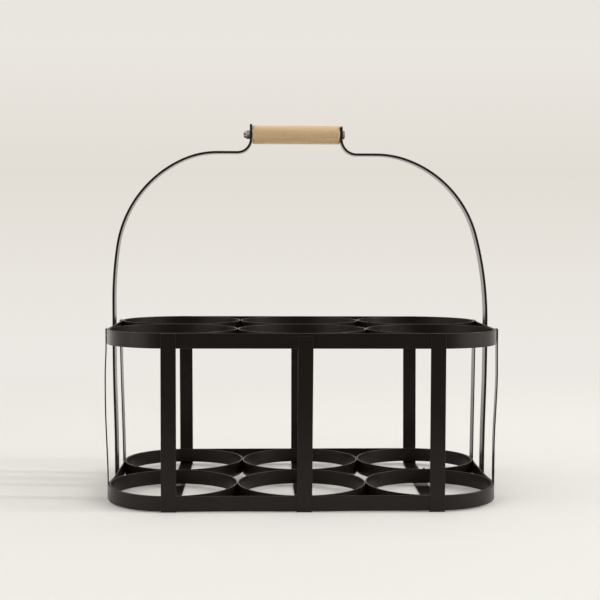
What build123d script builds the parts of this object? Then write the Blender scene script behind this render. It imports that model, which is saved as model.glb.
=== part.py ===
from build123d import *
import os
from math import asin, atan2, cos, degrees, radians, sin

# Bottle carrier of flat steel strip: two tiers of rings inside a band each, joined by
# folded uprights, end strips and a pair of arched straps that hold a turned wooden grip.
# Millimetres. The origin is on the surface that the carrier stands on, below its middle:
# +X runs along the long side, -Y is the front and +Z is up.

# Flat strip
strip_width = 12.0
strip_thickness = 1.0
edge_ease_share = 0.2
fold_inside_share = 0.9
joint_gap = 0.1

# Tiers: the hairline joint_gap parts the round strips that are welded where they meet
ring_bore = 102.9
rack_height = 140.0
top_waist = 0.5
bottom_waist = 2.2
seat_margin = 2.0

# Uprights and end strips. Seen from above, an end strip is turned about its corner and
# touches the bands at a share of its width from its middle
middle_leg_drop = 2.0
front_strip_turn = 6.0
front_touch_share = 0.42
rear_strip_turn = 2.5
rear_touch_share = 0.25

# Handle straps, outer face: each rises from the top band, turns in over three bends,
# runs level and folds up into the tab that carries the bolt
handle_width = 15.0
handle_thickness = 2.0
left_spring_rise = 20.0
right_spring_rise = 2.0
left_side_turn = 8.7
right_side_turn = 15.0
shoulder_turn = 57.3
crown_radius_share = 0.8
left_arch_rise = 147.1
right_arch_rise = 145.5
crown_run = 17.0
axis_rise = 161.4
left_tab_rise = 8.8
right_tab_rise = 7.0
tab_corner_radius = 3.0
tab_flat_margin = 0.1

# Grip: its middle stands a little to the left of the carrier's
grip_diameter = 16.0
grip_length = 74.1
grip_chamfer = 0.6
grip_end_gap = 0.3
grip_shift = 4.1
grip_bore_clearance = 0.1

# Bolt with a button head, and its lock nut
bolt_diameter = 4.0
bolt_tail = 0.4
bolt_tip_share = 0.1
head_diameter = 7.6
head_height = 2.2
head_dome_share = 0.85
socket_width = 2.5
socket_depth = 1.3
tab_hole_clearance = 0.25
nut_width = 7.0
nut_hex_height = 3.0
nut_corner_share = 0.06
nut_turn = 8.0
thread_clearance = 0.05
collar_diameter = 5.9
collar_height = 2.0
collar_wall = 0.5
collar_lip = 0.4
collar_round_share = 0.7
insert_clearance = 0.02

cut_overrun = 1.0

# Sizes that follow
edge_ease = strip_thickness * edge_ease_share
handle_ease = handle_thickness * edge_ease_share
fold_radius = edge_ease * fold_inside_share + strip_thickness
ring_radius = ring_bore / 2 + strip_thickness
pitch = 2 * ring_radius + joint_gap
corner_radius = ring_radius + joint_gap
band_radius = corner_radius + strip_thickness
band_half_depth = pitch / 2 + band_radius
band_half_length = pitch + band_radius
tier_height = rack_height - strip_width
seat_half = handle_width / 2 + seat_margin
axis_height = rack_height + axis_rise
tab_face = grip_length / 2 + grip_end_gap
tab_flat_drop = head_diameter / 2 + tab_flat_margin
bolt_radius = bolt_diameter / 2
insert_radius = collar_diameter / 2 - collar_wall
insert_height = collar_height - collar_lip
nut_height = nut_hex_height + collar_height

COLUMNS = {"left": -pitch, "middle": 0, "right": pitch}
ROWS = {"front": -pitch / 2, "rear": pitch / 2}
TIERS = {"bottom": strip_thickness, "top": tier_height}
WAISTS = {"bottom": bottom_waist, "top": top_waist}

# The line of the bolt: local Z points to the right, along +X, and local X points up
bolt_line = Plane(origin=(-grip_shift, 0, axis_height), x_dir=(0, 0, 1), z_dir=(1, 0, 0))

# Round pieces stand on their local origin, or hang from it
STANDING = (Align.CENTER, Align.CENTER, Align.MIN)
HANGING = (Align.CENTER, Align.CENTER, Align.MAX)


def face_edges(start, heading, legs, shift):
    """Lines and arcs of a strip's face, moved to the left of its path by shift.

    A leg is (length, 0) for a straight run, or (radius, turn in degrees) for a bend
    tangent to the leg before it. A left turn is positive.
    """
    here = Vector(start) + Vector(1, 0).rotate(Axis.Z, heading + 90) * shift
    edges = []
    for size, turn in legs:
        ahead = Vector(1, 0).rotate(Axis.Z, heading)
        if turn == 0:
            there = here + ahead * size
            edges.append(Edge.make_line(here, there))
        else:
            side = 1 if turn > 0 else -1
            centre = here + ahead.rotate(Axis.Z, side * 90) * (size - side * shift)
            middle = centre + (here - centre).rotate(Axis.Z, turn / 2)
            there = centre + (here - centre).rotate(Axis.Z, turn)
            edges.append(Edge.make_three_point_arc(here, middle, there))
            heading += turn
        here = there
    return edges


def eased(solid, radius):
    """Rolled edges along both narrow sides of a strip, which face along local Z."""
    layers = solid.edges().group_by(Axis.Z)
    return fillet(layers[0] + layers[-1], radius)


def bent_strip(start, heading, legs, width, thickness):
    """A strip of the given width along its outer face, thickness to the left."""
    outer = face_edges(start, heading, legs, 0)
    inner = face_edges(start, heading, legs, thickness)
    first_end = Edge.make_line(outer[0] @ 0, inner[0] @ 0)
    last_end = Edge.make_line(outer[-1] @ 1, inner[-1] @ 1)
    outline = make_face(outer + inner + [first_end, last_end])
    return extrude(outline, amount=width / 2, both=True)


def ring(x, y, z):
    """One round hoop for a bottle, standing on the height z."""
    outline = Circle(ring_radius) - Circle(ring_bore / 2)
    return Pos(x, y, z) * eased(extrude(outline, amount=strip_width), edge_ease)


def band_legs(waist):
    """The loop round the rings, drawn in by the waist at the middle of each end.

    The reverse bend touches the corner's arc and the flat that the strap sits on, so
    the two radii add up to (waist^2 + reach^2) / (2 waist).
    """
    reach = pitch / 2 - seat_half
    radii = (waist ** 2 + reach ** 2) / (2 * waist)
    turn = degrees(asin(reach / radii))
    side = [(2 * pitch, 0)]
    half_end = [(corner_radius, 90 + turn), (radii - corner_radius, -turn)]
    end = half_end + [(2 * seat_half, 0)] + half_end[::-1]
    return (side + end) * 2


def band(z, waist):
    """One tier's band, standing on the height z."""
    start = (-pitch, -pitch / 2 - corner_radius)
    inner = make_face(face_edges(start, 0, band_legs(waist), 0))
    outer = make_face(face_edges(start, 0, band_legs(waist), -strip_thickness))
    return Pos(0, 0, z) * eased(extrude(outer - inner, amount=strip_width), edge_ease)


def upright(x, front_drop):
    """Strip folded under the bottom tier: front leg, floor run and rear leg."""
    outer_half = band_half_depth + strip_thickness
    leg = rack_height - fold_radius
    floor_run = 2 * (outer_half - fold_radius)
    fold = (fold_radius, 90)
    legs = [(leg - front_drop, 0), fold, (floor_run, 0), fold, (leg, 0)]
    start = (-outer_half, rack_height - front_drop)
    folded = bent_strip(start, -90, legs, strip_width, strip_thickness)
    return Pos(x, 0, 0) * (Plane.YZ * eased(folded, edge_ease))


def end_strip(side, y, turn, slide):
    """Upright strip that touches both bands on the round of a corner.

    It is slid to the rear along its own plane, past the line where it touches them.
    """
    height = rack_height - strip_thickness
    start = (band_radius + strip_thickness, strip_thickness)
    straight = bent_strip(start, 90, [(height, 0)], strip_width, strip_thickness)
    slid = Pos(0, slide, 0) * (Plane.XZ * eased(straight, edge_ease))
    right = Pos(pitch, y, 0) * (Rot(0, 0, turn) * slid)
    return right if side == "right" else mirror(right, about=Plane.YZ)


def arch_legs(rise, side_turn, run):
    """Three bends from upright to level: side, shoulder and crown.

    The crown's radius is a share of the run. The side's and the shoulder's radii are
    the two that make the bends end at that run and that rise.
    """
    crown_radius = run * crown_radius_share
    first = radians(side_turn)
    second = radians(side_turn + shoulder_turn)
    run_left = run - crown_radius * cos(second)
    rise_left = rise - crown_radius * (1 - sin(second))
    side_run, side_climb = 1 - cos(first), sin(first)
    shoulder_run, shoulder_climb = cos(first) - cos(second), sin(second) - sin(first)
    scale = side_run * shoulder_climb - shoulder_run * side_climb
    side_radius = (run_left * shoulder_climb - rise_left * shoulder_run) / scale
    shoulder_radius = (side_run * rise_left - side_climb * run_left) / scale
    side = (side_radius, side_turn)
    shoulder = (shoulder_radius, shoulder_turn)
    crown = (crown_radius, 90 - side_turn - shoulder_turn)
    return [side, shoulder, crown]


def handle_strap(side, spring_rise, side_turn, arch_rise, tab_rise, shift):
    """Strap outside both bands, up the arch to the bolt's tab, modelled on the right."""
    foot = band_half_length - bottom_waist + handle_thickness
    spring = band_half_length - top_waist + handle_thickness
    tab = tab_face + handle_thickness + shift
    step_out = spring - foot
    step_up = tier_height - strip_width - strip_thickness
    step_radius = (step_out ** 2 + step_up ** 2) / (4 * step_out)
    step_turn = degrees(2 * atan2(step_out, step_up))
    tab_bend_radius = axis_rise - arch_rise - tab_flat_drop
    run = spring - tab - tab_bend_radius - crown_run
    legs = [(strip_width, 0), (step_radius, -step_turn), (step_radius, step_turn)]
    legs += [(strip_width + spring_rise, 0)] + arch_legs(arch_rise - spring_rise, side_turn, run)
    legs += [(crown_run, 0), (tab_bend_radius, -90), (tab_flat_drop + tab_rise, 0)]
    strap = bent_strip((foot, strip_thickness), 90, legs, handle_width, handle_thickness)

    hole = Cylinder(bolt_radius + tab_hole_clearance, handle_thickness + 2 * cut_overrun)
    strap -= Pos(tab - handle_thickness / 2, axis_height, 0) * (Rot(0, 90, 0) * hole)
    tab_corners = strap.edges().filter_by(Axis.X).group_by(Axis.Y)[-1]
    strap = Plane.XZ * eased(fillet(tab_corners, tab_corner_radius), handle_ease)
    return strap if side == "right" else mirror(strap, about=Plane.YZ)


def wooden_grip():
    """Turned roller, bored through, with its ends chamfered."""
    roller = Cylinder(grip_diameter / 2, grip_length)
    roller = chamfer(roller.edges(), grip_chamfer)
    bore = Cylinder(bolt_radius + grip_bore_clearance, grip_length + 2 * cut_overrun)
    return bolt_line * (roller - bore)


def grip_bolt():
    """Shank from the head on the right tab to just past the nut on the left tab."""
    seat = tab_face + handle_thickness
    length = 2 * seat + nut_height + bolt_tail
    shank = Cylinder(bolt_radius, length, align=HANGING)
    shank = chamfer(shank.edges().sort_by(Axis.Z)[0], bolt_radius * bolt_tip_share)
    head = Cylinder(head_diameter / 2, head_height, align=STANDING)
    head = fillet(head.edges().sort_by(Axis.Z)[-1], head_height * head_dome_share)
    hexagon = RegularPolygon(socket_width / 2, 6, major_radius=False)
    socket = Pos(0, 0, head_height) * extrude(hexagon, amount=socket_depth, both=True)
    return bolt_line * (Pos(0, 0, seat) * (shank + head - socket))


def lock_nut():
    """Hexagon against the left tab, then the round collar that traps the insert."""
    hexagon = RegularPolygon(nut_width / 2, 6, major_radius=False, rotation=nut_turn)
    corner_reach = nut_width / 2 / cos(radians(30))
    blank = Cylinder(corner_reach, nut_hex_height, align=STANDING)
    blank = chamfer(blank.edges().filter_by(GeomType.CIRCLE), nut_width * nut_corner_share)
    body = extrude(hexagon, amount=nut_hex_height) & blank

    collar = Cylinder(collar_diameter / 2, nut_height, align=STANDING)
    collar = fillet(collar.edges().sort_by(Axis.Z)[-1], collar_wall * collar_round_share)
    recess = Cylinder(insert_radius, insert_height, align=STANDING)
    bore = Cylinder(bolt_radius + thread_clearance, 2 * (nut_height + cut_overrun))
    return nut_place(body + collar - Pos(0, 0, nut_hex_height) * recess - bore)


def lock_nut_insert():
    """Nylon washer that grips the thread, shut in by the collar's lip."""
    washer = Circle(insert_radius - insert_clearance) - Circle(bolt_radius + thread_clearance)
    return nut_place(Pos(0, 0, nut_hex_height) * extrude(washer, amount=insert_height))


def nut_place(piece):
    """A piece modelled from the nut's seat upwards, turned to lie against the left tab."""
    return bolt_line * (Pos(0, 0, -tab_face - handle_thickness) * (Rot(180, 0, 0) * piece))


def build_nodes():
    """Every piece of the carrier by its name."""
    nodes = {}
    for tier, z in TIERS.items():
        nodes[f"{tier}_band"] = band(z, WAISTS[tier])
        for row, y in ROWS.items():
            for column, x in COLUMNS.items():
                nodes[f"{tier}_ring_{row}_{column}"] = ring(x, y, z)
    for column, x in COLUMNS.items():
        drop = middle_leg_drop if column == "middle" else 0
        nodes[f"upright_{column}"] = upright(x, drop)
    front_slide = strip_width * front_touch_share
    rear_slide = strip_width * rear_touch_share
    for side in ("left", "right"):
        front = end_strip(side, ROWS["front"], -front_strip_turn, front_slide)
        nodes[f"end_strip_front_{side}"] = front
        rear = end_strip(side, ROWS["rear"], rear_strip_turn, rear_slide)
        nodes[f"end_strip_rear_{side}"] = rear
    nodes["handle_strap_left"] = handle_strap(
        "left", left_spring_rise, left_side_turn, left_arch_rise, left_tab_rise, grip_shift)
    nodes["handle_strap_right"] = handle_strap(
        "right", right_spring_rise, right_side_turn, right_arch_rise, right_tab_rise, -grip_shift)
    nodes["wooden_grip"] = wooden_grip()
    nodes["grip_bolt"] = grip_bolt()
    nodes["lock_nut"] = lock_nut()
    nodes["lock_nut_insert"] = lock_nut_insert()
    return nodes


os.makedirs("parts", exist_ok=True)
for name, piece in build_nodes().items():
    export_step(piece, f"parts/{name}.step")
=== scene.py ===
from math import asin, atan2, ceil, cos, degrees, pi, radians, sin

import bpy
import numpy as np
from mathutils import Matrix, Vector


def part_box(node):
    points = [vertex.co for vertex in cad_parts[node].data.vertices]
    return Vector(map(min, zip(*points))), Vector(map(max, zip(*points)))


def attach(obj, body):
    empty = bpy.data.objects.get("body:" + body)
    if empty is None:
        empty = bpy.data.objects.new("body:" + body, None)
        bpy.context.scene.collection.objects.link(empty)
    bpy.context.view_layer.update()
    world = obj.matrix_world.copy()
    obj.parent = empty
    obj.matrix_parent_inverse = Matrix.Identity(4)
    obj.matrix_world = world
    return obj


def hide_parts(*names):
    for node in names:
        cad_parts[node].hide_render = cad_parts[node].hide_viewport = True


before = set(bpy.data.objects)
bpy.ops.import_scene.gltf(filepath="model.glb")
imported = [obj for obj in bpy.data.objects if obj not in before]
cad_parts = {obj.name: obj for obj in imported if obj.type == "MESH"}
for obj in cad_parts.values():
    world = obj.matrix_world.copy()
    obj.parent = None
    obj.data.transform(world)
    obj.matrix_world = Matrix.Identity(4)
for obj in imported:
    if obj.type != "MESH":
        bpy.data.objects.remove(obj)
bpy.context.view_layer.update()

# Lengths are in metres. The caddy stands on z = 0, its long side runs along X and its
# front faces -Y.


# Camera. It stands a good metre in front of the caddy, a little to the left of its
# middle and above its top band, and looks slightly down and to the right.
camera_place = (-0.0269, -1.0937, 0.2157)
camera_lens_mm, camera_sensor_mm = 76.64, 36.0
camera_down = radians(2.885)
camera_right = radians(1.379)
camera_roll = radians(0.16)

camera = bpy.data.objects.new("camera", bpy.data.cameras.new("camera"))
camera.data.lens = camera_lens_mm
camera.data.sensor_width = camera_sensor_mm
camera.location = camera_place
camera.rotation_euler = (pi / 2 - camera_down, -camera_roll, -camera_right)
bpy.context.scene.collection.objects.link(camera)
bpy.context.scene.camera = camera
bpy.context.scene.view_settings.view_transform = "Standard"


# Studio. One long sheet of warm white paper lies under the caddy and rises behind it in
# a wide bend. Soft light comes from above, from behind and from the sides, less from
# the camera's side, and a narrow lamp low on the right throws the strips' shadows.
paper_colour = (0.735, 0.723, 0.697, 1)
paper_floor_lines = (-0.45, -0.2, 0.0)
paper_bend_start, paper_bend_radius = 1.25, 0.6
paper_half_width, paper_top = 7.0, 3.0
paper_columns, paper_bend_rows = 15, 25

# Far behind the caddy the sheet glows instead of being lit: its colours, from the floor
# upwards, are painted light and shade which the lamps don't change. They fade in over a
# stretch of y.
far_painted_light_colours = ((0.0, (0.840, 0.815, 0.775, 1)), (0.13, (0.815, 0.783, 0.738, 1)),
                     (0.40, (0.765, 0.727, 0.663, 1)), (0.72, (0.825, 0.793, 0.747, 1)),
                     (1.0, (0.80, 0.77, 0.72, 1)))
paper_far_height = 0.9
paper_fade = (0.25, 1.05)

# Where the steel mirrors it, the far sheet shines 1 + gain times as strongly. The gain
# falls from left to right across the caddy's surroundings, and above a rise it is low.
gain_left, gain_right, gain_half_width = 1.3, 0.1, 1.5
gain_high, gain_rise = -0.7, (0.2, 0.7)

# The sky's strength is a sum of three: one that grows from the camera's side to the
# back, one on the left and the right, and one from below, in front of the sheet.
sky_colour = (1, 0.985, 0.96, 1)
sky_front, sky_back, sky_turn = 0.08, 0.86, (-0.97, -0.60)
sky_left, sky_right, sky_side_turn = 1.2, 0.9, (0.55, 0.97)
sky_under, sky_under_turn = 1.3, (0.14, 0.5)
softbox = {"place": (0, 0.15, 1.7), "aim": (0, 0, 0), "size": (1.4, 1.4), "power": 4.9}
strip_lamp = {"place": (4.8, -0.44, 2.25), "aim": (0, 0, 0.07), "size": (0.15, 3.0), "power": 120.0}


def add_node(tree, kind, sockets=(), **settings):
    """Adds a node. Each socket takes a plain value, or a link from another's output."""
    node = tree.nodes.new(kind)
    for key, value in settings.items():
        setattr(node, key, value)
    for key, value in dict(sockets).items():
        if isinstance(value, bpy.types.NodeSocket):
            tree.links.new(value, node.inputs[key])
        else:
            node.inputs[key].default_value = value
    return node


def add_math(tree, operation, *values):
    """Result of one operation on up to three values."""
    return add_node(tree, "ShaderNodeMath", enumerate(values), operation=operation).outputs[0]


def add_range(tree, value, source=(0, 1), target=(0, 1), way="LINEAR"):
    """Value carried from one range to another, and held at the ends of both."""
    sockets = {"Value": value, "From Min": source[0], "From Max": source[1],
               "To Min": target[0], "To Max": target[1]}
    return add_node(tree, "ShaderNodeMapRange", sockets, interpolation_type=way).outputs["Result"]


def new_material(name):
    """Material with an empty node tree."""
    material = bpy.data.materials.new(name)
    material.use_nodes = True
    material.node_tree.nodes.clear()
    return material


def set_ramp(ramp_node, stops):
    """Gives a Color Ramp its stops, each a place from 0 to 1 and a colour."""
    ramp = ramp_node.color_ramp
    while len(ramp.elements) < len(stops):
        ramp.elements.new(0.5)
    for element, (place, colour) in zip(ramp.elements, stops):
        element.position, element.color = place, colour


def add_mesh(name, points, faces, material):
    """Smooth mesh object at the origin, made of points and faces."""
    mesh = bpy.data.meshes.new(name)
    mesh.from_pydata(np.reshape(points, (-1, 3)).tolist(), [], faces)
    mesh.shade_smooth()
    mesh.materials.append(material)
    piece = bpy.data.objects.new(name, mesh)
    bpy.context.scene.collection.objects.link(piece)
    return piece


def paper_mesh(material):
    """Sheet carried along X: flat floor, quarter bend and upright back.

    The bend is y = start + radius * sin a, z = radius * (1 - cos a).
    """
    bend = np.linspace(0, pi / 2, paper_bend_rows)
    y = np.append(paper_floor_lines, paper_bend_start + paper_bend_radius * np.sin(bend))
    z = np.append(np.zeros(len(paper_floor_lines)), paper_bend_radius * (1 - np.cos(bend)))
    y, z = np.append(y, y[-1]), np.append(z, paper_top)
    x = np.linspace(-paper_half_width, paper_half_width, paper_columns)
    points = np.stack(np.broadcast_arrays(x[:, None], y, z), -1)
    index = np.arange(points[..., 0].size).reshape(len(x), len(y))
    quads = np.stack([index[:-1, :-1], index[1:, :-1], index[1:, 1:], index[:-1, 1:]], -1)
    return add_mesh("paper_sweep", points, quads.reshape(-1, 4).tolist(), material)


paper = new_material("warm_white_paper")
tree = paper.node_tree
where = add_node(tree, "ShaderNodeTexCoord").outputs["Object"]
axes = add_node(tree, "ShaderNodeSeparateXYZ", {"Vector": where}).outputs
# Beyond the fade the sheet glows in painted light and shade by height for camera, glossy and transmission
# rays; all other rays find the lit paper
far = add_range(tree, axes["Y"], paper_fade, way="SMOOTHSTEP")
height = add_range(tree, axes["Z"], (0, paper_far_height))
tone = add_node(tree, "ShaderNodeValToRGB", {"Fac": height})
set_ramp(tone, far_painted_light_colours)
ray = add_node(tree, "ShaderNodeLightPath").outputs
seen = add_math(tree, "MAXIMUM", ray["Is Camera Ray"], ray["Is Glossy Ray"])
seen = add_math(tree, "MAXIMUM", seen, ray["Is Transmission Ray"])
share = add_math(tree, "MULTIPLY", seen, far)
gain = add_range(tree, axes["X"], (-gain_half_width, gain_half_width), (gain_left, gain_right))
rise = add_range(tree, axes["Z"], gain_rise)
gain = add_node(tree, "ShaderNodeMix", {0: rise, 2: gain, 3: gain_high}).outputs[0]
gain = add_math(tree, "MULTIPLY_ADD", ray["Is Glossy Ray"], gain, 1.0)
lit = add_node(tree, "ShaderNodeBsdfDiffuse", {"Color": paper_colour})
shown = add_node(tree, "ShaderNodeEmission", {"Color": tone.outputs["Color"], "Strength": gain})
mixed = add_node(tree, "ShaderNodeMixShader", {"Fac": share, 1: lit.outputs[0], 2: shown.outputs[0]})
add_node(tree, "ShaderNodeOutputMaterial", {"Surface": mixed.outputs[0]})
paper_mesh(paper)

world = bpy.data.worlds.new("studio")
bpy.context.scene.world = world
world.use_nodes = True
tree = world.node_tree
tree.nodes.clear()
direction = add_node(tree, "ShaderNodeTexCoord").outputs["Generated"]
axes = add_node(tree, "ShaderNodeSeparateXYZ", {"Vector": direction}).outputs
base = add_range(tree, axes["Y"], sky_turn, (sky_front, sky_back), way="SMOOTHSTEP")
side = add_range(tree, axes["X"], (-1, 1), (sky_left, sky_right))
aside = add_math(tree, "ABSOLUTE", axes["X"])
aside = add_range(tree, aside, sky_side_turn, (0, side), way="SMOOTHSTEP")
under = add_math(tree, "MULTIPLY", axes["Z"], -1.0)
under = add_range(tree, under, sky_under_turn, (0, sky_under), way="SMOOTHSTEP")
strength = add_math(tree, "ADD", add_math(tree, "ADD", base, aside), under)
soft = add_node(tree, "ShaderNodeBackground", {"Color": sky_colour, "Strength": strength})
plain = add_node(tree, "ShaderNodeBackground", {"Color": far_painted_light_colours[0][1], "Strength": 1.0})
ray = add_node(tree, "ShaderNodeLightPath").outputs["Is Camera Ray"]
mixed = add_node(tree, "ShaderNodeMixShader", {"Fac": ray, 1: soft.outputs[0], 2: plain.outputs[0]})
add_node(tree, "ShaderNodeOutputWorld", {"Surface": mixed.outputs[0]})

for name, lamp in (("softbox", softbox), ("strip_lamp", strip_lamp)):
    light = bpy.data.objects.new(name, bpy.data.lights.new(name, "AREA"))
    light.data.shape = "RECTANGLE"
    light.data.size, light.data.size_y = lamp["size"]
    light.data.energy = lamp["power"]
    light.location = lamp["place"]
    aim = Vector(lamp["aim"]) - Vector(lamp["place"])
    light.rotation_euler = aim.to_track_quat("-Z", "Y").to_euler()
    bpy.context.scene.collection.objects.link(light)


# Bands. Each tier is held by one long strip of flat steel, bent round the six rings and
# welded to them, then powder coated in satin black with all the rest. Its two ends are
# drawn in at the middle, where the handle's strap is welded on.
MM = 0.001
plate = 1.0 * MM
edge_round_share, least_corner_share = 0.3, 0.1
flat_margin = 0.25 * MM
path_step, widest_turn, end_rows = 2.0 * MM, radians(6), 12

# The flat below the handle's strap is two seat halves long and stands in by the waist
seat_half = 9.5 * MM
waists = {"bottom": 2.2 * MM, "top": 0.5 * MM}

# How far the lower tier is from true: its corners, its rear seam, and its lift off the
# floor runs at the front, the middle and the rear
corner_pulls = {"front": 0.3 * MM, "rear_left": 2.0 * MM, "rear_right": 1.3 * MM}
seam_shift = 4.0 * MM
seat_lifts, seat_tilt = (-0.3 * MM, 1.2 * MM, 1.7 * MM), 0.25 * MM

coat_colour = (0.0098, 0.0062, 0.0043, 1)
coat_worn_colour = (0.040, 0.032, 0.026, 1)
coat_cloud_size, coat_roughness, coat_roughness_swing = 30 * MM, 0.31, 0.05
coat_ior, coat_specular = 1.8, 0.13
peel_size, peel_depth, peel_strength = 0.9 * MM, 0.02 * MM, 0.35
mottle_details = {"Cloud": 3.0, "Grain": 2.0}
rub_size, rub_amount = 5 * MM, 0.35
rub_range, rub_detail, rub_roughness = (0.45, 0.7), 4.0, 0.65


def walk(start, heading, legs, shift):
    """Points and headings of a bent line, moved to its left by shift.

    A leg (length, 0) is straight. A leg (radius, turn) is an arc tangent to the leg
    before it: the centre less the radius times the left normal of an evenly turning
    heading. Angles are given in degrees.
    """
    here, angle = np.array(start, float), radians(heading)
    points, headings = [], []
    for size, turn in legs:
        swing = radians(turn)
        length = size * abs(swing) if turn else size
        count = ceil(max(length / path_step, abs(swing) / widest_turn))
        share = np.linspace(0, 1, count + 1)
        angles = angle + share * swing
        if turn:
            to_centre = np.sign(turn) * size
            centre = here + to_centre * np.array([-sin(angle), cos(angle)])
            leg = centre - to_centre * np.stack([-np.sin(angles), np.cos(angles)], -1)
        else:
            leg = here + np.outer(share * size, [cos(angle), sin(angle)])
        points.append(leg[:-1])
        headings.append(angles[:-1])
        here, angle = leg[-1], angles[-1]
    points, headings = np.vstack(points + [here]), np.append(np.concatenate(headings), angle)
    return points + shift * np.stack([-np.sin(headings), np.cos(headings)], -1), headings


def strip(points, headings, origin, axes, width, thickness=plate, end_round=0.0, sway=0.0,
          closed=False):
    """Grid of a flat strip carried along a line in the plane of two axes.

    Each row is a rounded rectangle square to the line: point + u * outward normal
    + v * across, with four quarter circles at its corners and a point beside each that
    keeps the wide faces flat. An open strip's end rows shrink along a quarter circle,
    which rounds the sheared edge; end_round also rounds its last corners, seen face on.
    Returns the points and how much of an edge each is.
    """
    edge_round = thickness * edge_round_share
    if closed:
        to_start = to_end = np.full(len(points), np.inf)
    else:
        near = np.sin(np.linspace(pi / 2, 0, end_rows))
        back = max(end_round, 2 * edge_round) * (1 - near)
        ahead = np.array([cos(headings[-1]), sin(headings[-1])])
        tail = points[-1] - np.outer(back[::-1], ahead)
        ahead = np.array([cos(headings[0]), sin(headings[0])])
        front = points[0] + np.outer(2 * edge_round * (1 - near), ahead)
        points = np.vstack([front, points[1:-1], tail])
        headings = np.concatenate([np.full(len(front), headings[0]), headings[1:-1],
                                   np.full(len(tail), headings[-1])])
        to_start = np.append(0, np.cumsum(np.hypot(*np.diff(points, axis=0).T)))
        to_end = to_start[-1] - to_start

    def drawn_in(distance, radius):
        """Inset of a quarter circle near its end: r - sqrt(r^2 - (r - distance)^2)."""
        return radius - np.sqrt(radius ** 2 - np.maximum(radius - distance, 0) ** 2)

    inset = drawn_in(np.minimum(to_start, to_end), edge_round)
    cut = drawn_in(to_end, end_round) if end_round else 0
    half_u = (thickness / 2 - inset)[:, None]
    half_v = (width / 2 - np.maximum(inset, cut))[:, None]
    corner = np.maximum(edge_round - inset, least_corner_share * edge_round)[:, None]

    arc = np.linspace(0, pi / 2, 5)
    turn = np.concatenate([[0], arc, arc + pi / 2, [pi, pi], arc + pi, arc + 1.5 * pi, [2 * pi]])
    sign_u, sign_v = np.repeat([1, -1, -1, 1], 6), np.repeat([1, 1, -1, -1], 6)
    beside = np.isin(np.arange(len(turn)), (0, 11, 12, 23))
    u = sign_u * (half_u - corner) + corner * np.cos(turn)
    v = sign_v * np.maximum(half_v - corner - beside * flat_margin, 0) + corner * np.sin(turn)

    axis_p, axis_q = np.array(axes, float)
    along = np.outer(np.cos(headings), axis_p) + np.outer(np.sin(headings), axis_q)
    outward = np.outer(np.sin(headings), axis_p) - np.outer(np.cos(headings), axis_q)
    across = np.cross(along, outward)
    line = origin + points @ np.stack([axis_p, axis_q]) + np.reshape(sway, (-1, 1)) * outward
    grid = line[:, None] + u[..., None] * outward[:, None] + v[..., None] * across[:, None]
    edge = np.broadcast_to(np.where(beside, 0, np.abs(np.sin(2 * turn))), u.shape)
    return grid, edge


def as_built(points):
    """The rack as it was welded up, not quite true.

    The lower tier's corners are drawn in along X by their pull, times the fourth power
    of x / half length and the square of y / half a pitch. The rear seam between its left
    and its middle ring stands to the right by the seam shift, times the squared cosine
    of the way from the seam and y / half depth. Both fade towards the top tier.
    """
    x, y, z = np.moveaxis(points, -1, 0)
    rear_pull = np.where(x < 0, corner_pulls["rear_left"], corner_pulls["rear_right"])
    pull = np.where(y < 0, corner_pulls["front"], rear_pull)
    pull = pull * np.minimum(np.abs(2 * y / pitch), 1) ** 2
    low = np.clip((tier_z["top"] - z) / (tier_z["top"] - tier_z["bottom"] - strip_width), 0, 1)
    moved = x - np.sign(x) * np.minimum(np.abs(x) / half_length, 1) ** 4 * pull * low
    rear = np.clip(y / half_depth, 0, 1)
    wave = np.cos(np.clip((x + pitch / 2) / pitch, -0.5, 0.5) * pi) ** 2
    return np.stack([moved + seam_shift * wave * low * rear, y, z], -1)


def seated(points):
    """The tiers as they sit. The lower one stands off its floor runs towards the rear.

    Its lift is the parabola in y through the lifts at the front, the middle and the
    rear, and grows a little from left to right.
    """
    front, middle, rear = seat_lifts
    share = points[..., 1] / half_depth
    lift = middle + (rear - front) / 2 * share + ((front + rear) / 2 - middle) * share ** 2
    lift = lift + seat_tilt * points[..., 0] / half_length
    low = points[..., 2] < tier_z["top"] / 2
    return points + (lift * low)[..., None] * np.array([0, 0, 1])


def tube_faces(rows, columns, closed=False):
    """Quads of a grid whose columns wrap round, and a flat cap at each end of an open one.

    They face outwards where the columns turn left about the direction of the rows.
    """
    index = np.arange(rows * columns).reshape(rows, columns)
    caps = [] if closed else [index[0, ::-1].tolist(), index[-1].tolist()]
    if closed:
        index = np.vstack([index, index[:1]])
    beside = np.roll(index, -1, axis=1)
    sides = np.stack([index[:-1], beside[:-1], beside[1:], index[1:]], -1)
    return sides.reshape(-1, 4).tolist() + caps


def add_strip(name, grid, edge, material, closed=False):
    """Mesh of a strip's grid, as built, with its edges in an attribute."""
    piece = add_mesh(name, as_built(grid), tube_faces(*edge.shape, closed), material)
    layer = piece.data.attributes.new("edge", "FLOAT", "POINT")
    layer.data.foreach_set("value", np.ascontiguousarray(edge, dtype=np.float32).ravel())
    return piece


def band_legs(waist):
    """Straight sides and drawn-in ends, as bent lines tangent to each other.

    The reverse bend touches the corner's arc and the flat below the handle's strap, so
    the two radii add up to (waist^2 + reach^2) / (2 waist).
    """
    reach = pitch / 2 - seat_half
    radii = (waist ** 2 + reach ** 2) / (2 * waist)
    turn = degrees(asin(reach / radii))
    half_end = [(corner_radius, 90 + turn), (radii - corner_radius, -turn)]
    return ([(2 * pitch, 0)] + half_end + [(2 * seat_half, 0)] + half_end[::-1]) * 2


def finish_group(name, inputs, outputs):
    """Node group with named inputs and outputs. Gives it, its inputs and its output node."""
    group = bpy.data.node_groups.new(name, "ShaderNodeTree")
    for way, sockets in (("INPUT", inputs), ("OUTPUT", outputs)):
        for label, kind in sockets.items():
            group.interface.new_socket(label, in_out=way, socket_type=kind)
    return group, group.nodes.new("NodeGroupInput").outputs, group.nodes.new("NodeGroupOutput")


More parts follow.
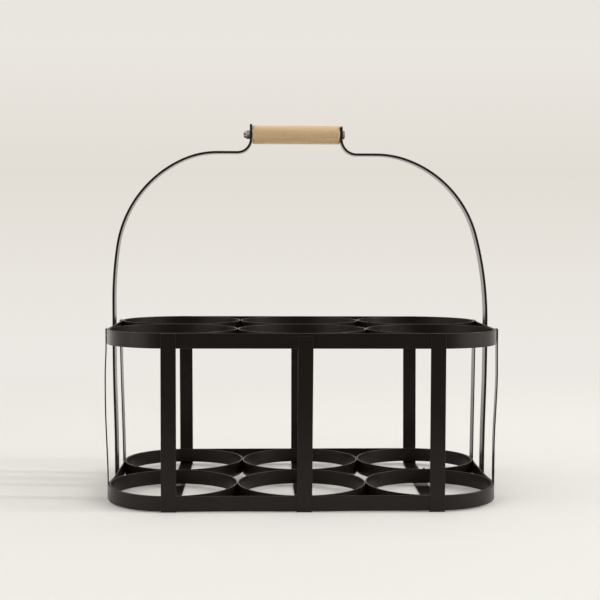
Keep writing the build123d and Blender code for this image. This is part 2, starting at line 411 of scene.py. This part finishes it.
def spot_noise(tree, place, size, detail, roughness=0.5):
    """Noise from 0 to 1 whose spots are of one size."""
    scale = add_math(tree, "DIVIDE", 1.0, size)
    return add_node(tree, "ShaderNodeTexNoise", {"Vector": place, "Scale": scale, "Detail": detail,
                    "Roughness": roughness}).outputs["Fac"]


def add_mix(tree, factor, first, second):
    """Colour between two colours by a factor."""
    sockets = {0: factor, 6: first, 7: second}
    return add_node(tree, "ShaderNodeMix", sockets, data_type="RGBA").outputs[2]


# Mottle: slow unevenness of a finish, from 0 to 1, and its fine grain as a height
mottle, inside, out = finish_group(
    "mottle",
    {"Vector": "NodeSocketVector", "Cloud Size": "NodeSocketFloat", "Grain Size": "NodeSocketFloat"},
    {"Cloud": "NodeSocketFloat", "Grain": "NodeSocketFloat"})
for label, detail in mottle_details.items():
    spots = spot_noise(mottle, inside["Vector"], inside[f"{label} Size"], detail)
    mottle.links.new(spots, out.inputs[label])

# Rub: where an edge has lost its finish, from the edge attribute broken up by noise
rub, inside, out = finish_group(
    "edge_rub",
    {"Vector": "NodeSocketVector", "Spot Size": "NodeSocketFloat", "Amount": "NodeSocketFloat"},
    {"Mask": "NodeSocketFloat"})
edge = add_node(rub, "ShaderNodeAttribute", attribute_name="edge").outputs["Fac"]
spots = spot_noise(rub, inside["Vector"], inside["Spot Size"], rub_detail, rub_roughness)
worn = add_math(rub, "MULTIPLY", edge, add_range(rub, spots, rub_range))
rub.links.new(add_math(rub, "MULTIPLY", worn, inside["Amount"]), out.inputs["Mask"])


def black_powder_coat():
    """Satin black powder coat: orange peel, slow clouds of sheen and rubbed edges."""
    material = new_material("black_powder_coat")
    tree = material.node_tree
    where = add_node(tree, "ShaderNodeTexCoord").outputs["Object"]
    finish = add_node(tree, "ShaderNodeGroup", {"Vector": where, "Cloud Size": coat_cloud_size,
                      "Grain Size": peel_size}, node_tree=mottle).outputs
    worn = add_node(tree, "ShaderNodeGroup", {"Vector": where, "Spot Size": rub_size,
                    "Amount": rub_amount}, node_tree=rub).outputs["Mask"]
    colour = add_mix(tree, worn, coat_colour, coat_worn_colour)
    swing = (coat_roughness - coat_roughness_swing, coat_roughness + coat_roughness_swing)
    roughness = add_range(tree, finish["Cloud"], target=swing)
    bump = add_node(tree, "ShaderNodeBump", {"Height": finish["Grain"], "Strength": peel_strength,
                    "Distance": peel_depth})
    shader = add_node(tree, "ShaderNodeBsdfPrincipled", {"Base Color": colour, "Roughness": roughness,
                      "IOR": coat_ior, "Specular IOR Level": coat_specular,
                      "Normal": bump.outputs["Normal"]})
    add_node(tree, "ShaderNodeOutputMaterial", {"Surface": shader.outputs["BSDF"]})
    return material


band_low, band_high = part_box("bottom_band")
ring_low, ring_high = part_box("bottom_ring_front_right")
strip_width = band_high.z - band_low.z
half_length, half_depth = band_high.x, band_high.y
pitch = (ring_low.x + ring_high.x) / 2
ring_radius = (ring_high.x - ring_low.x) / 2
corner_radius = half_depth - pitch / 2 - plate
tier_z = {"bottom": band_low.z, "top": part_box("top_band")[0].z}
level_plane = ((1, 0, 0), (0, 1, 0))
coat = black_powder_coat()

for tier, z in tier_z.items():
    start = (-pitch, -pitch / 2 - corner_radius)
    points, headings = walk(start, 0, band_legs(waists[tier]), -plate / 2)
    middle = (0, 0, z + strip_width / 2)
    grid, edge = strip(points[:-1], headings[:-1], middle, level_plane, strip_width, closed=True)
    piece = add_strip(f"coated_{tier}_band", seated(grid), edge, coat, closed=True)
    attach(piece, "rack")
    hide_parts(f"{tier}_band")


# Rings. Twelve hoops of the same strip, rolled and butt welded, six to a tier. They are
# welded to each other and to the band where they touch, and are a little out of round
# in between, each in its own way.
out_of_round = 0.45 * MM

# How the unevenness turns from ring to ring, in radians a metre along X, Y and Z
lobe_phases = (40, 90, 20)

for tier, z in tier_z.items():
    for row, y in (("front", -pitch / 2), ("rear", pitch / 2)):
        for column, x in (("left", -pitch), ("middle", 0), ("right", pitch)):
            points, headings = walk((0, -ring_radius), 0, [(ring_radius, 360)], plate / 2)
            points, headings = points[:-1], headings[:-1]

            # Off round by sin^2 of twice the heading, most on one side of the ring
            lobes = np.sin(2 * headings) ** 2
            phase = np.dot(lobe_phases, (x, y, z))
            sway = -out_of_round * lobes * (0.5 + 0.5 * np.sin(headings + phase))

            middle = (x, y, z + strip_width / 2)
            grid, edge = strip(points, headings, middle, level_plane, strip_width, sway=sway, closed=True)
            piece = add_strip(f"coated_{tier}_ring_{row}_{column}", seated(grid), edge, coat, closed=True)
            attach(piece, "rack")
            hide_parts(f"{tier}_ring_{row}_{column}")


# Uprights. Three strips, each folded into a U that passes under the bottom tier and is
# welded outside both bands. The middle one's front leg ends just below the rim and leans
# a little to the right, as the right one's rear leg does.
fold_radius = 1.18 * MM
middle_leg_drop = 2.0 * MM

# How far the front leg and the rear leg stand aside, each at its foot and its top
plumb = (0, 0)
leg_leans = {"left": (plumb, plumb), "middle": ((0.9 * MM, 1.7 * MM), plumb),
             "right": (plumb, (1.6 * MM, 0.5 * MM))}
cross_plane = ((0, 1, 0), (0, 0, 1))


def leaned(points, front, rear):
    """An upright pushed along X at the foot and the top of its front and its rear leg.

    The push is foot + (top - foot) * z / height, and fades along the floor run with y.
    """
    y, z = points[..., 1], points[..., 2]
    pushes = [foot + (top - foot) * z / rack_height for foot, top in (front, rear)]
    push = np.where(y < 0, pushes[0], pushes[1]) * np.abs(y) / outer_half
    return points + push[..., None] * np.array([1, 0, 0])


upright_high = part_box("upright_left")[1]
rack_height, outer_half = upright_high.z, upright_high.y
for column, x in (("left", -pitch), ("middle", 0), ("right", pitch)):
    drop = middle_leg_drop if column == "middle" else 0
    leg, fold = rack_height - fold_radius, (fold_radius, 90)
    legs = [(leg - drop, 0), fold, (2 * (outer_half - fold_radius), 0), fold, (leg, 0)]
    points, headings = walk((-outer_half, rack_height - drop), -90, legs, plate / 2)
    grid, edge = strip(points, headings, (x, 0, 0), cross_plane, strip_width)
    piece = add_strip(f"coated_upright_{column}", leaned(grid, *leg_leans[column]), edge, coat)
    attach(piece, "rack")
    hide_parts(f"upright_{column}")


# End strips. Two strips at each end stand upright outside both bands, welded on the
# round of the corners and flush with the rims. They are turned a little and bow between
# the bands.

# Each is turned about the middle of its ring and slid along its own width, to the rear
strip_turns = {("front", "left"): radians(-6.5), ("front", "right"): radians(-3.8),
               ("rear", "left"): radians(2), ("rear", "right"): radians(3)}
strip_slides = {"front": 0.42 * strip_width, "rear": 0.25 * strip_width}

# A bow's foot, swell, start, end and close
bows = {("front", "left"): (-0.7 * MM, 1.8 * MM, 0, 0.6, -0.9 * MM),
        ("front", "right"): (-0.7 * MM, 1.9 * MM, 0.25, 0.8, -0.3 * MM),
        ("rear", "left"): (0.4 * MM, 0.8 * MM, 0, 1, 0), ("rear", "right"): (0, 0, 0, 1, 0)}
close_start = 0.75
bow_low = tier_z["bottom"] + strip_width


def bow(z, foot, swell, start, end, close):
    """How far a strip stands off its straight line between the two bands.

    foot + swell * step(share, start, end) + close * step(share, close start, 1), where
    share runs from 0 at the lower band to 1 at the upper one and step is 3t^2 - 2t^3.
    """
    share = np.clip((z - bow_low) / (tier_z["top"] - bow_low), 0, 1)
    first = np.clip((share - start) / (end - start), 0, 1)
    last = np.clip((share - close_start) / (1 - close_start), 0, 1)
    return foot + swell * first ** 2 * (3 - 2 * first) + close * last ** 2 * (3 - 2 * last)


for side, sign in (("left", -1), ("right", 1)):
    for row, y in (("front", -pitch / 2), ("rear", pitch / 2)):
        turn, slide = strip_turns[row, side], strip_slides[row]
        legs = [(rack_height - plate, 0)]
        points, headings = walk((corner_radius + 2 * plate, plate), 90, legs, plate / 2)
        points[:, 0] += bow(points[:, 1], *bows[row, side])
        axis = (sign * cos(turn), sin(turn), 0)
        place = (sign * (pitch - slide * sin(turn)), y + slide * cos(turn), 0)
        grid, edge = strip(points, headings, place, (axis, (0, 0, 1)), strip_width)
        piece = add_strip(f"coated_end_strip_{row}_{side}", grid, edge, coat)
        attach(piece, "rack")
        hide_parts(f"end_strip_{row}_{side}")


# Handle straps. A wider strip at each end is welded outside both bands, rises in an
# arch of three bends and runs level, then folds up into the tab that carries the bolt.
handle_width, handle_plate = 15 * MM, 2 * MM

# Above the top rim: where the arch springs, and where it runs level
spring_rises = {"left": 20 * MM, "right": 2 * MM}
arch_rises = {"left": 147.1 * MM, "right": 145.5 * MM}
side_turns, shoulder_turn = {"left": 8.7, "right": 15}, 57.3
crown_run, crown_radius_share = 17 * MM, 0.8

# Above the bolt: the tab's top. Below it: where the tab's bend ends.
tab_rises = {"left": 8.8 * MM, "right": 7 * MM}
tab_flat_drop, tab_corner_radius = 3.9 * MM, 3 * MM


def arch_legs(rise, side_turn, run):
    """Three bends from upright to level: side, shoulder and crown.

    The crown's radius is a share of the run. The other two solve the pair of equations
    that make the bends end at that run and that rise.
    """
    crown_radius = run * crown_radius_share
    first, second = radians(side_turn), radians(side_turn + shoulder_turn)
    reached = np.array([[1 - cos(first), cos(first) - cos(second)],
                        [sin(first), sin(second) - sin(first)]])
    left = [run - crown_radius * cos(second), rise - crown_radius * (1 - sin(second))]
    side_radius, shoulder_radius = np.linalg.solve(reached, left)
    return [(side_radius, side_turn), (shoulder_radius, shoulder_turn),
            (crown_radius, 90 - side_turn - shoulder_turn)]


grip_low, grip_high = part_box("wooden_grip")
axis_rise = (grip_low.z + grip_high.z) / 2 - rack_height
for side, sign in (("left", -1), ("right", 1)):
    low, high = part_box(f"handle_strap_{side}")
    spring_rise, arch_rise = spring_rises[side], arch_rises[side]
    foot = half_length - waists["bottom"] + handle_plate
    spring = half_length - waists["top"] + handle_plate
    tab = (low.x if sign > 0 else -high.x) + handle_plate

    # Two arcs between the bands, because the top band is drawn in less
    step_out, step_up = spring - foot, tier_z["top"] - strip_width - plate
    step_radius = (step_out ** 2 + step_up ** 2) / (4 * step_out)
    step_turn = degrees(2 * atan2(step_out, step_up))

    tab_bend_radius = axis_rise - arch_rise - tab_flat_drop
    run = spring - tab - tab_bend_radius - crown_run
    legs = [(strip_width, 0), (step_radius, -step_turn), (step_radius, step_turn)]
    legs += [(strip_width + spring_rise, 0)] + arch_legs(arch_rise - spring_rise, side_turns[side], run)
    legs += [(crown_run, 0), (tab_bend_radius, -90), (tab_flat_drop + tab_rises[side], 0)]
    points, headings = walk((foot, plate), 90, legs, handle_plate / 2)
    grid, edge = strip(points, headings, (0, 0, 0), ((sign, 0, 0), (0, 0, 1)), handle_width,
                       handle_plate, tab_corner_radius)
    piece = add_strip(f"coated_handle_strap_{side}", grid, edge, coat)
    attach(piece, "rack")
    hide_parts(f"handle_strap_{side}")


# Weld beads. Short runs of weld sit in the wedges beside the lines where rings and bands
# touch, and in the corners where an upright crosses a band. One small lump of weld is
# left on the rims where the two lower right rings meet.
bead_radius, bead_length = 0.45 * MM, 8.0 * MM
bead_ripple_share, bead_ripple_pitch = 0.10, 0.9 * MM
bead_fullness, bead_cut = 8, 0.999
bead_rows, bead_columns = 25, 10
band_inset = 0.9 * bead_radius
cross_inset, cross_rise = 0.35 * bead_radius, 0.2 * bead_radius
lump_length, lump_aside, lump_rise = 1.7 * MM, 2.2 * MM, 1.2 * bead_radius


def wedge_places():
    """Middles of the upright beads beside the lines where rings and bands meet.

    Two hoops part by y^2 / R at the distance y from their line of contact, and a hoop
    and a straight band by half of that, so a bead as thick as the gap lies at
    sqrt(2 * bead radius * R), or at sqrt(2) times as much.
    """
    near = (bead_radius * 2 * ring_radius) ** 0.5
    wide = near * 2 ** 0.5
    between_columns = [(x, y + s * near) for x in (-pitch / 2, pitch / 2)
                       for y in (-pitch / 2, pitch / 2) for s in (-1, 1)]
    between_rows = [(x + s * near, 0) for x in (-pitch, 0, pitch) for s in (-1, 1)]
    at_band = [(x + s * wide, y * (pitch - band_inset)) for x in (-pitch, 0, pitch)
               for y in (-1, 1) for s in (-1, 1) if abs(x + s * wide) < pitch]
    return np.array(between_columns + between_rows + at_band)


def beads(middles, along, lengths):
    """Beads, each a rippled rod of round section that shrinks to both of its ends.

    The radius is bead radius * sqrt(1 - cut * t^fullness)
    * (1 + ripple * cos(2 pi s / ripple pitch)), with t from -1 to 1 along the bead.
    """
    t = np.linspace(-1, 1, bead_rows)
    run = np.multiply.outer(lengths / 2, t)
    ripple = 1 + bead_ripple_share * np.cos(2 * pi * run / bead_ripple_pitch)
    radius = bead_radius * np.sqrt(1 - bead_cut * t ** bead_fullness) * ripple
    turn = np.linspace(0, 2 * pi, bead_columns, endpoint=False)
    first = np.roll(along, 1, axis=1)
    second = np.cross(along, first)
    spin = np.cos(turn)[:, None] * first[:, None] + np.sin(turn)[:, None] * second[:, None]
    line = middles[:, None] + run[..., None] * along[:, None]
    return line[:, :, None] + radius[..., None, None] * spin[:, None]


def bead_faces(count):
    """Side faces and both caps of every bead."""
    one = tube_faces(bead_rows, bead_columns)
    starts = np.arange(count)[:, None, None] * bead_rows * bead_columns
    sides = (np.array(one[:-2]) + starts).reshape(-1, 4).tolist()
    caps = (np.array(one[-2:]) + starts).reshape(-1, bead_columns).tolist()
    return sides + caps


wedges = wedge_places()
upright_beads = np.concatenate([np.column_stack([wedges, np.full(len(wedges), z + strip_width / 2)])
                                for z in tier_z.values()])
bottom_rim, top_rim = tier_z["bottom"] + strip_width, tier_z["top"]
cross_beads = np.array([(x, side * (half_depth - cross_inset), z)
                        for x in (-pitch, 0, pitch) for side in (-1, 1)
                        for z in (bottom_rim + cross_rise, top_rim - cross_rise)])
lump = np.array([(pitch + lump_aside, 0, bottom_rim + lump_rise)])
middles = np.concatenate([upright_beads, cross_beads, lump])
along = np.concatenate([np.tile([0, 0, 1.0], (len(upright_beads), 1)),
                        np.tile([1.0, 0, 0], (len(cross_beads) + 1, 1))])
lengths = np.append(np.full(len(middles) - 1, bead_length), lump_length)
piece = add_mesh("coated_weld_beads", as_built(seated(beads(middles, along, lengths))),
                 bead_faces(len(middles)), coat)
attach(piece, "rack")


# Wooden grip. A turned beech roller, bored through and chamfered at both ends, sanded
# but not varnished. Its grain runs along X.
grip_chamfer, grip_bore = 0.6 * MM, 2.1 * MM
bore_round, shoulder_round, chamfer_round = 0.2 * MM, 0.25 * MM, 0.35 * MM
round_sides = 96
round_angles = np.linspace(0, 2 * pi, round_sides, endpoint=False)
beech_light = (0.62, 0.425, 0.217, 1)
beech_dark = (0.475, 0.29, 0.116, 1)
beech_fleck = (0.33, 0.19, 0.10, 1)
beech_end = (0.62, 0.41, 0.22, 1)
beech_roughness = (0.44, 0.58)
beech_specular, beech_sheen, beech_sheen_roughness = 1.0, 0.7, 0.4

# The heart of the tree lies beside the grip, and the rings about it sway
heart_place, heart_turn = (0.013, 0.021, -0.270), (0, radians(0.5), radians(-1.2))
ring_width, ring_sway = 2.1 * MM, 2.2 * MM
ring_range = (-0.4, 1.0)

# Noises, each with its spots a metre along X, Y and Z, its detail and its roughness
sway_noise, broad_noise = ((14, 90, 90), 2.0, 0.5), ((9, 240, 240), 2.0, 0.5)
fine_noise, fleck_noise = ((60, 2200, 2200), 3.0, 0.6), ((420, 3000, 3000), 0.0, 0.5)

# How much each counts in the tone from light to dark, and the range of their sum
fine_share, broad_share, ring_share = 0.55, 0.75, 0.20
tone_range = (0.40, 1.15)
fleck_range, fleck_share = (0.68, 0.78), 0.45
end_range, end_share = (0.8, 0.98), 0.7
grain_strength, grain_depth = 0.3, 0.05 * MM


def outline(corners):
    """Closed line through corners (x, r, radius), with each corner rounded.

    The rounding is (1 - s)^2 * before + 2 s (1 - s) * corner + s^2 * after, with both
    ends one radius from the corner, and a point beyond each end keeps the sides flat.
    A corner of radius zero stays one point.
    """
    corners = np.array(corners, float)
    place, radius = corners[:, :2], corners[:, 2, None]
    ways = np.stack([np.roll(place, 1, axis=0) - place, np.roll(place, -1, axis=0) - place])
    back, ahead = ways / np.maximum(np.linalg.norm(ways, axis=-1), 1e-9)[..., None]
    share = np.array([0, 0, 0.25, 0.5, 0.75, 1, 1])
    reach = np.array([1.5, 1, 1, 1, 1, 1, 1.5])
    blend = (place[:, None] + (back * radius)[:, None] * ((1 - share) ** 2 * reach)[:, None]
             + (ahead * radius)[:, None] * (share ** 2 * reach)[:, None])
    keep = (radius > 0) | (np.arange(len(share)) == 3)
    return blend[keep]


def lathe(line, middle, angles=round_angles, radii=None):
    """Grid turned about the line through middle along X: (x, r cos a, r sin a)."""
    radii = line[:, 1:] if radii is None else radii
    parts = np.broadcast_arrays(line[:, :1], radii * np.cos(angles), radii * np.sin(angles))
    return np.stack(parts, -1) + np.array(middle)


def add_turned(name, points, material, node, body, closed=True):
    """Piece made of a lathe's grid that replaces a node."""
    piece = add_mesh(name, points, tube_faces(*points.shape[:2], closed), material)
    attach(piece, body)
    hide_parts(node)
    return piece


def stretched_noise(tree, place, scale, detail, roughness):
    """Noise from 0 to 1 with its own number of spots a metre along each axis."""
    place = add_node(tree, "ShaderNodeMapping", {"Vector": place, "Scale": scale}).outputs["Vector"]
    return add_node(tree, "ShaderNodeTexNoise", {"Vector": place, "Scale": 1.0, "Detail": detail,
                    "Roughness": roughness}).outputs["Fac"]


def bare_beech():
    """Beech: year rings about a tilted heart, streaks and short dark flecks along X."""
    material = new_material("bare_beech")
    tree = material.node_tree
    where = add_node(tree, "ShaderNodeTexCoord").outputs["Object"]
    place = add_node(tree, "ShaderNodeMapping", {"Vector": where, "Location": heart_place,
                     "Rotation": heart_turn}).outputs["Vector"]
    flat = add_node(tree, "ShaderNodeMapping", {"Vector": place, "Scale": (0, 1, 1)}).outputs["Vector"]
    away = add_node(tree, "ShaderNodeVectorMath", {0: flat}, operation="LENGTH").outputs["Value"]
    away = add_math(tree, "MULTIPLY_ADD", stretched_noise(tree, place, *sway_noise), ring_sway, away)
    ring = add_math(tree, "SINE", add_math(tree, "MULTIPLY", away, 2 * pi / ring_width))
    ring = add_range(tree, ring, ring_range, way="SMOOTHSTEP")
    fine = stretched_noise(tree, place, *fine_noise)
    broad = stretched_noise(tree, place, *broad_noise)
    fleck = stretched_noise(tree, place, *fleck_noise)
    fleck = add_range(tree, fleck, fleck_range, (0, fleck_share))
    tone = add_math(tree, "MULTIPLY", fine, fine_share)
    tone = add_math(tree, "MULTIPLY_ADD", broad, broad_share, tone)
    tone = add_math(tree, "MULTIPLY_ADD", ring, ring_share, tone)
    colour = add_mix(tree, add_range(tree, tone, tone_range), beech_light, beech_dark)
    colour = add_mix(tree, fleck, colour, beech_fleck)
    facing = add_node(tree, "ShaderNodeNewGeometry").outputs["Normal"]
    facing = add_node(tree, "ShaderNodeSeparateXYZ", {"Vector": facing}).outputs["X"]
    facing = add_math(tree, "ABSOLUTE", facing)
    colour = add_mix(tree, add_range(tree, facing, end_range, (0, end_share)), colour, beech_end)
    bump = add_node(tree, "ShaderNodeBump", {"Height": fine, "Strength": grain_strength,
                    "Distance": grain_depth})
    roughness = add_range(tree, fine, target=beech_roughness)
    shader = add_node(tree, "ShaderNodeBsdfPrincipled", {"Base Color": colour, "Roughness": roughness,
                      "Specular IOR Level": beech_specular, "Sheen Weight": beech_sheen,
                      "Sheen Roughness": beech_sheen_roughness, "Normal": bump.outputs["Normal"]})
    add_node(tree, "ShaderNodeOutputMaterial", {"Surface": shader.outputs["BSDF"]})
    return material


axis_line = (0, 0, (grip_low.z + grip_high.z) / 2)
grip_radius = (grip_high.z - grip_low.z) / 2
shoulder = grip_radius - grip_chamfer
profile = outline([(grip_low.x, grip_bore, bore_round), (grip_low.x, shoulder, shoulder_round),
                   (grip_low.x + grip_chamfer, grip_radius, chamfer_round),
                   (grip_high.x - grip_chamfer, grip_radius, chamfer_round),
                   (grip_high.x, shoulder, shoulder_round), (grip_high.x, grip_bore, bore_round)])
add_turned("turned_grip", lathe(profile, axis_line), bare_beech(), "wooden_grip", "grip")


# Bolt. A button head with a hexagon socket sits on the right tab, and the shank runs
# through both tabs and the grip to its threaded end just past the nut. Black oxide.
bolt_radius, thread_pitch, thread_depth = 2.0 * MM, 0.7 * MM, 0.4 * MM
threaded_length, tip_bevel, thread_steps = 9.1 * MM, 0.2 * MM, 8
head_radius, head_height, head_dome, dome_rows = 3.8 * MM, 2.2 * MM, 1.87 * MM, 9
socket_width, socket_depth = 2.5 * MM, 1.3 * MM
socket_mouth, socket_rim, socket_floor = 0.60 * socket_width, 0.64 * socket_width, 0.4 * socket_width

# Points this close beside an edge keep the faces next to it flat
tip_hold, edge_hold, floor_hold, rim_hold = 0.02 * MM, 0.05 * MM, 0.06 * MM, 0.08 * MM

oxide_colour, oxide_cloud_share = (0.19, 0.18, 0.16, 1), 0.7
oxide_roughness = 0.38
steel_cloud_size, steel_grain_size, steel_roughness_swing = 2.5 * MM, 0.2 * MM, 0.08
steel_grain_strength, steel_grain_depth = 0.2, 0.01 * MM


def hexagon(width, angles, turn=0.0):
    """Distance from the middle to a hexagon's sides at each angle.

    It is half the width over the cosine of the angle from the nearest side's middle.
    """
    return width / 2 / np.cos((angles - turn) % (pi / 3) - pi / 6)


def hexagon_angles(turn=0.0):
    """Angles with a corner at the start of every sixth, and two close beside each."""
    shares = np.array([0, 0.025, 0.12, 0.3, 0.5, 0.7, 0.88, 0.975])
    return turn + (np.arange(6)[:, None] + shares).ravel() * pi / 3


def fastener_steel(name, colour, roughness, cloud_share):
    """Plated or oxidised steel: clouds of a darker tone, uneven sheen and a fine grain."""
    material = new_material(name)
    tree = material.node_tree
    where = add_node(tree, "ShaderNodeTexCoord").outputs["Object"]
    finish = add_node(tree, "ShaderNodeGroup", {"Vector": where, "Cloud Size": steel_cloud_size,
                      "Grain Size": steel_grain_size}, node_tree=mottle).outputs
    darker = tuple(cloud_share * part for part in colour[:3]) + (1,)
    tint = add_mix(tree, finish["Cloud"], colour, darker)
    swing = (roughness - steel_roughness_swing, roughness + steel_roughness_swing)
    bump = add_node(tree, "ShaderNodeBump", {"Height": finish["Grain"], "Strength": steel_grain_strength,
                    "Distance": steel_grain_depth})
    shader = add_node(tree, "ShaderNodeBsdfPrincipled", {"Base Color": tint, "Metallic": 1.0,
                      "Roughness": add_range(tree, finish["Cloud"], target=swing),
                      "Normal": bump.outputs["Normal"]})
    add_node(tree, "ShaderNodeOutputMaterial", {"Surface": shader.outputs["BSDF"]})
    return material


bolt_low, bolt_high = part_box("grip_bolt")
seat = bolt_high.x - head_height
thread = np.arange(bolt_low.x + 2 * tip_bevel, bolt_low.x + threaded_length, thread_pitch / thread_steps)

# The head's dome is a quarter circle: x with its sine, r with its cosine
dome = np.linspace(0, pi / 2, dome_rows)
dome_x = head_height - head_dome + head_dome * np.sin(dome)
dome_r = head_radius - head_dome * (1 - np.cos(dome))

tail = [(bolt_low.x, edge_hold), (bolt_low.x, bolt_radius - tip_bevel - edge_hold),
        (bolt_low.x + tip_hold, bolt_radius - tip_bevel), (bolt_low.x + tip_bevel, bolt_radius)]
neck = [(thread[-1] + thread_pitch, bolt_radius), (seat - edge_hold, bolt_radius),
        (seat, bolt_radius + edge_hold), (seat, head_radius - rim_hold), (seat + edge_hold, head_radius)]
top, floor = bolt_high.x, bolt_high.x - socket_depth
mouth = [(top, socket_rim), (top, socket_mouth)]
walls = [(top - rim_hold, socket_width / 2), (floor + floor_hold, socket_width / 2),
         (floor, socket_width / 2)]
bottom = [(floor, socket_floor), (floor, edge_hold)]
line = np.array(tail + [(x, bolt_radius) for x in thread] + neck
                + list(zip(seat + dome_x, dome_r)) + mouth + walls + bottom)

# The thread is a triangle wave along the shank that goes once round with the angle
angles = hexagon_angles()
turns = (line[:, :1] / thread_pitch - angles / (2 * pi)) % 1
threaded = (line[:, :1] >= thread[0]) & (line[:, :1] <= thread[-1])
radii = line[:, 1:] - threaded * thread_depth * (1 - 2 * np.abs(turns - 0.5))
radii[-len(walls + bottom):-len(bottom)] = hexagon(socket_width, angles)
black_oxide = fastener_steel("black_oxide_steel", oxide_colour, oxide_roughness, oxide_cloud_share)
add_turned("button_head_bolt", lathe(line, axis_line, angles, radii), black_oxide, "grip_bolt", "rack",
           closed=False)


# Lock nut. A bright zinc hexagon lies against the left tab, with the round collar that
# holds the nylon ring beyond it.
nut_width, nut_bevel, nut_turn, bevel_rows = 7.0 * MM, 0.42 * MM, radians(8), 7
nut_hex_height, collar_radius, collar_lip = 3.0 * MM, 2.95 * MM, 0.4 * MM
thread_bore, insert_radius, nut_face_radius = 2.05 * MM, 2.45 * MM, 3.15 * MM
collar_round, collar_foot_round, bore_bevel, lip_round = 0.35 * MM, 0.15 * MM, 0.1 * MM, 0.05 * MM
zinc_colour, zinc_cloud_share = (0.44, 0.435, 0.42, 1), 0.75
zinc_roughness = 0.30

nut_low, nut_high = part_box("lock_nut")
blank_radius = nut_width / 2 / cos(pi / 6)
hex_start, lip_start = nut_high.x - nut_hex_height, nut_low.x + collar_lip
bevel = np.linspace(0, nut_bevel, bevel_rows)
profile = np.vstack([
    outline([(lip_start, insert_radius, 0), (lip_start, thread_bore, lip_round),
             (nut_low.x, thread_bore, bore_bevel), (nut_low.x, collar_radius, collar_round),
             (hex_start, collar_radius, collar_foot_round), (hex_start, blank_radius - nut_bevel, 0)])[:-1],
    np.column_stack([hex_start + bevel, blank_radius - nut_bevel + bevel]),
    np.column_stack([nut_high.x - bevel[::-1], blank_radius - bevel]),
    [(nut_high.x, nut_face_radius), (nut_high.x, thread_bore + bore_bevel),
     (nut_high.x - bore_bevel, thread_bore), (hex_start, thread_bore), (hex_start, insert_radius)]])
angles = hexagon_angles(nut_turn)
radii = np.minimum(profile[:, 1:], hexagon(nut_width, angles, nut_turn))
zinc = fastener_steel("bright_zinc_steel", zinc_colour, zinc_roughness, zinc_cloud_share)
add_turned("zinc_lock_nut", lathe(profile, axis_line, angles, radii), zinc, "lock_nut", "rack")


# Nylon ring. It is pressed into the lock nut's collar, where it grips the bolt's thread
# and hardly shows.
nylon_colour, nylon_roughness = (0.78, 0.78, 0.74, 1), 0.45
nylon_glow, nylon_glow_depth = 0.2, 1.0 * MM
nylon_round = 0.08 * MM

nylon = new_material("natural_nylon")
tree = nylon.node_tree
shader = add_node(tree, "ShaderNodeBsdfPrincipled", {"Base Color": nylon_colour,
                  "Roughness": nylon_roughness, "Subsurface Weight": nylon_glow,
                  "Subsurface Scale": nylon_glow_depth})
add_node(tree, "ShaderNodeOutputMaterial", {"Surface": shader.outputs["BSDF"]})
ring_low, ring_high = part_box("lock_nut_insert")
outer = (ring_high.z - ring_low.z) / 2
profile = outline([(ring_low.x, thread_bore, nylon_round), (ring_low.x, outer, nylon_round),
                   (ring_high.x, outer, nylon_round), (ring_high.x, thread_bore, nylon_round)])
add_turned("nylon_ring", lathe(profile, axis_line), nylon, "lock_nut_insert", "rack")
